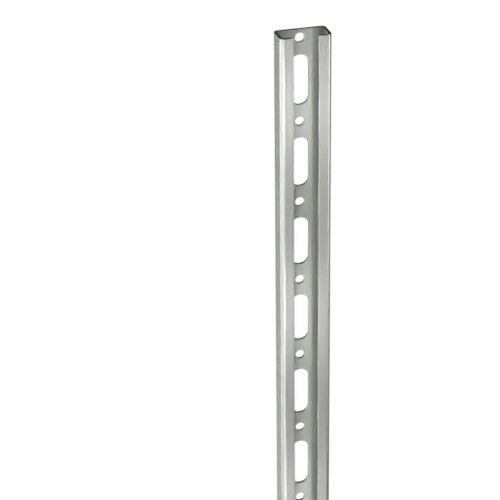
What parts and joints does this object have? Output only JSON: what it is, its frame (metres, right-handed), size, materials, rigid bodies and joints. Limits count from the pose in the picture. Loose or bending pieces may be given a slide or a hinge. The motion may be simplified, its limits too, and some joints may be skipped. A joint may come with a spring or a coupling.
{
  "type": "mounting rail",
  "caption": "Straight C-section steel mounting rail with two inturned lips, and slots alternating with round holes along the middle of its web.",
  "frame": {"origin": "on the web's outer face, midway along the rail and midway across it, which is the centre of the bounding box's bottom", "axes": "the rail lies on its back: +X along it, towards the end whose first round hole is 5 mm from the cut; Y across it; +Z out of the mouth between the lips"},
  "size_m": [1, 0.03, 0.015],
  "materials": {
    "galvanised_steel": "galvanised strip, satin with faint rolling streaks; bare grey steel on the cut edges"
  },
  "bodies": {
    "root": {"rail": "galvanised_steel"}
  },
  "joints": []
}
